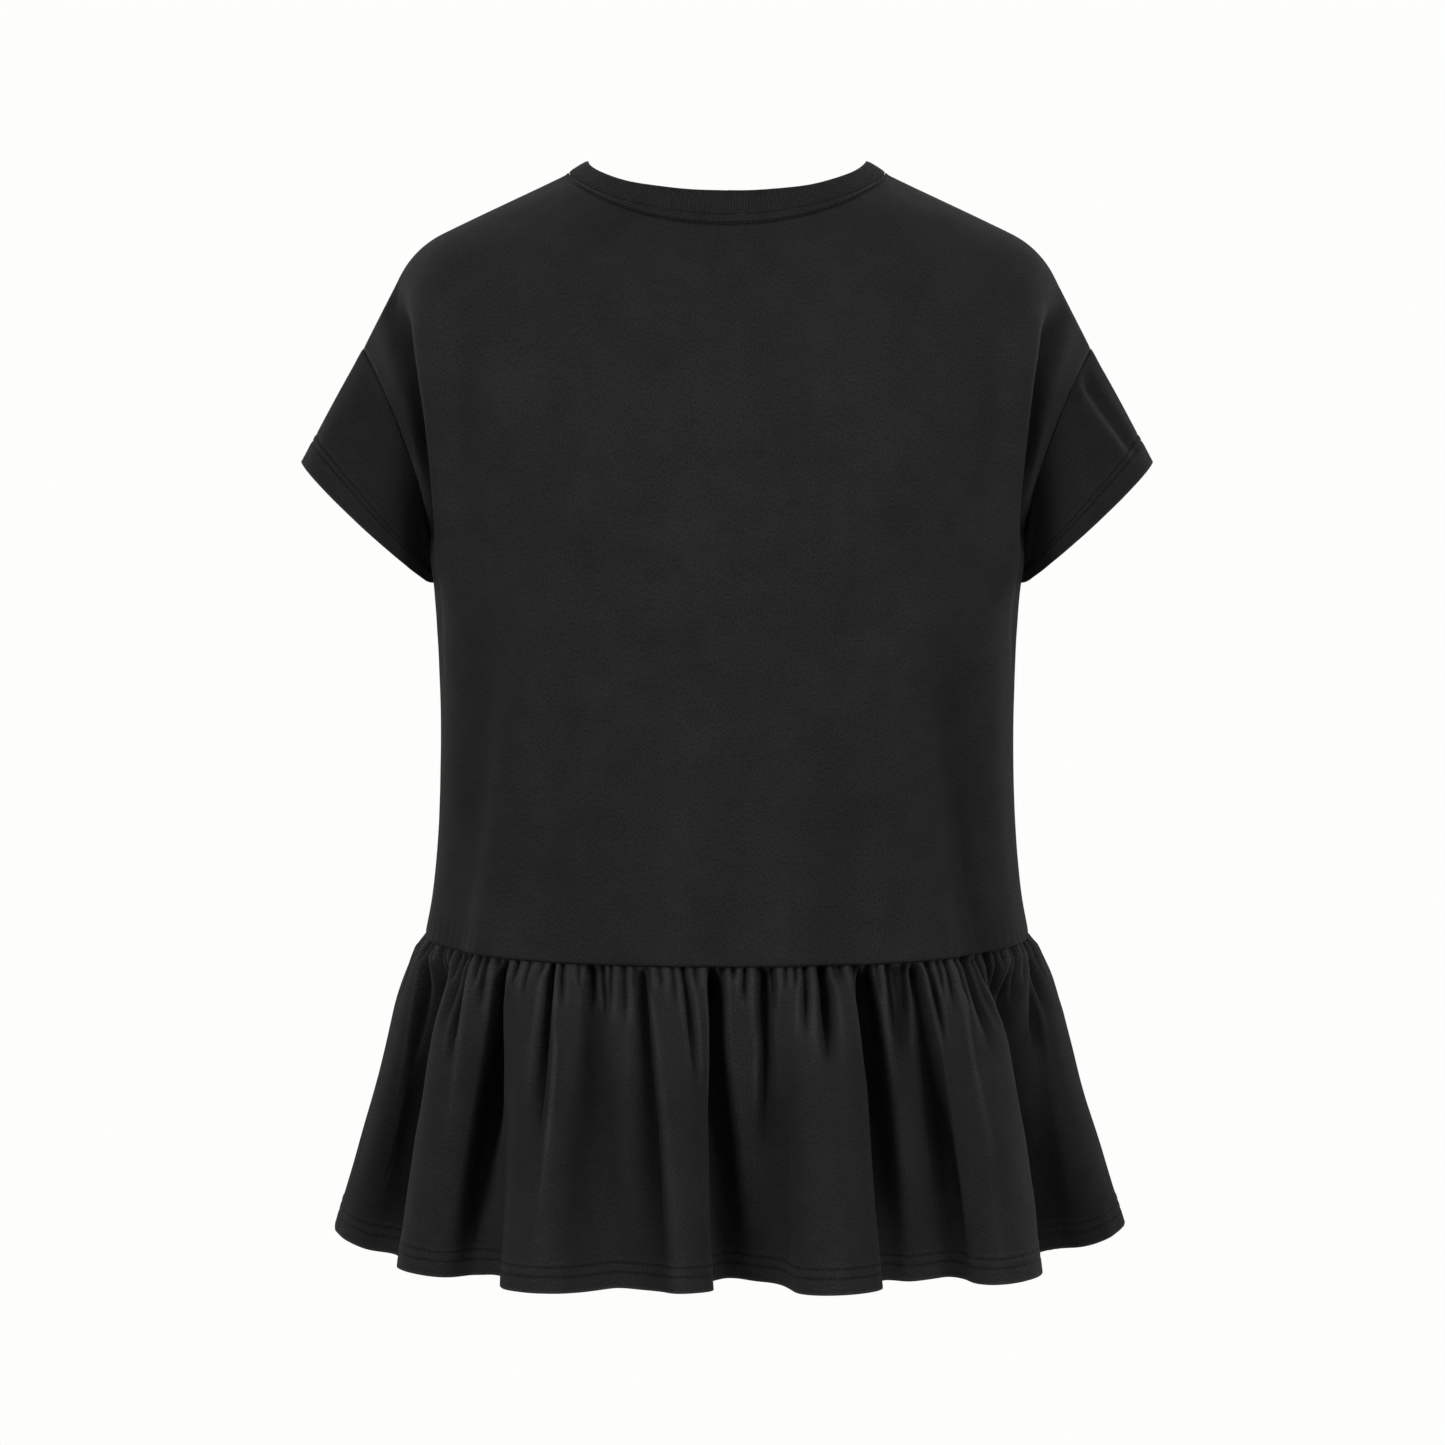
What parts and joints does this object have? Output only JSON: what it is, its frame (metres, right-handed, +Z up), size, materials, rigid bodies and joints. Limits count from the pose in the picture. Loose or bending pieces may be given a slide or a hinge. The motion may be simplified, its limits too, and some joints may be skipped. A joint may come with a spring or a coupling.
{
  "type": "ruffle-hem t-shirt",
  "caption": "Hollow, worn-form jersey t-shirt with dropped short sleeves, a ribbed round neckband and a gathered ruffle sewn on below the waist.",
  "frame": {"origin": "midway between the two neck points of the shoulder seams, where the wearer's shoulders hold the garment up", "axes": "+Z up, +X towards the wearer's left, +Y towards the wearer's back"},
  "size_m": [0.541, 0.3036, 0.7026],
  "materials": {
    "jersey": "washed black cotton jersey",
    "rib": "fine black cotton rib"
  },
  "bodies": {
    "root": {"back": "jersey", "front": "jersey", "sleeve_left": "jersey", "sleeve_right": "jersey", "neckband": "rib", "ruffle_back": "jersey", "ruffle_front": "jersey"}
  },
  "joints": []
}
